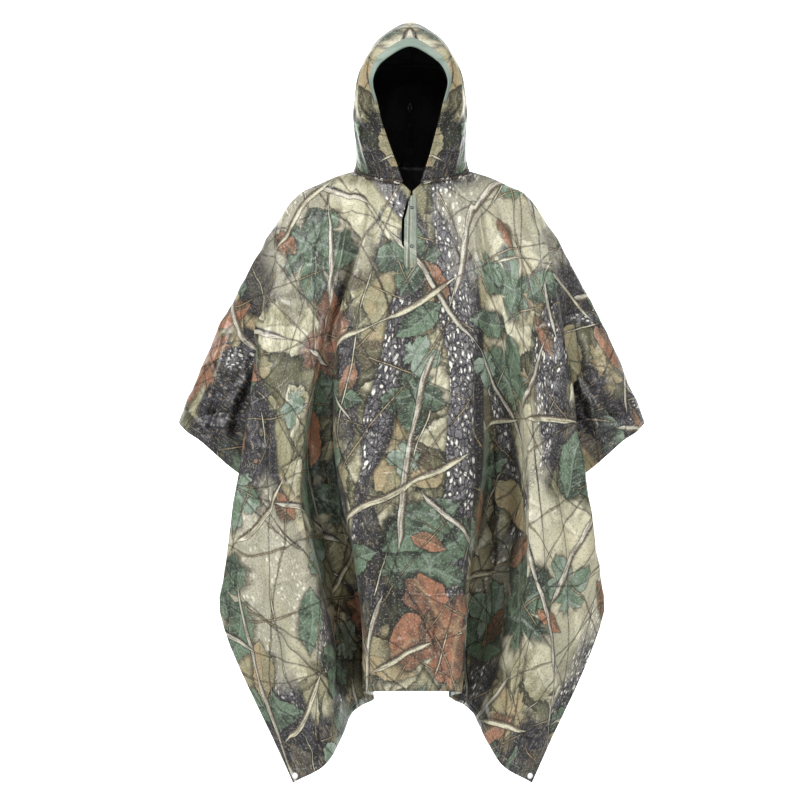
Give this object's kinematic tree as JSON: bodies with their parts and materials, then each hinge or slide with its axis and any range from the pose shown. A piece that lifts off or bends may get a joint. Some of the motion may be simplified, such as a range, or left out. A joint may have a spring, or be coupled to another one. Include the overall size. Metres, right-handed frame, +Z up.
{
  "type": "rain poncho",
  "caption": "Hooded rain poncho of thin coated cloth in a woodland print, in worn form: rectangular sheet over shoulders and arms, hood, neck slit, corner eyelets.",
  "frame": {"origin": "middle of the neck, level with the front neck seam, where the wearer's neck and shoulders hold the poncho", "axes": "+Z up, the front of the poncho faces -Y, the wearer's left side is at +X"},
  "size_m": [0.942, 0.412, 1.5232],
  "materials": {
    "printed_cloth": "thin plain-weave polyester with a woodland print, a faint satin sheen outside and a dark waterproof coating inside",
    "plain_band": "plain grey-green turned edge of the face opening",
    "stud_metal": "dark oxidised press stud",
    "eyelet_metal": "bright rolled metal eyelet"
  },
  "bodies": {
    "root": {"front": "printed_cloth", "back": "printed_cloth", "hood_right": "printed_cloth", "hood_left": "printed_cloth", "hood_band": "plain_band", "placket_over": "printed_cloth", "placket_under": "printed_cloth", "placket_tack": "printed_cloth", "placket_stud_upper": "stud_metal", "placket_stud_lower": "stud_metal", "eyelet_front_right": "eyelet_metal", "eyelet_front_left": "eyelet_metal", "eyelet_back_right": "eyelet_metal", "eyelet_back_left": "eyelet_metal"}
  },
  "joints": []
}
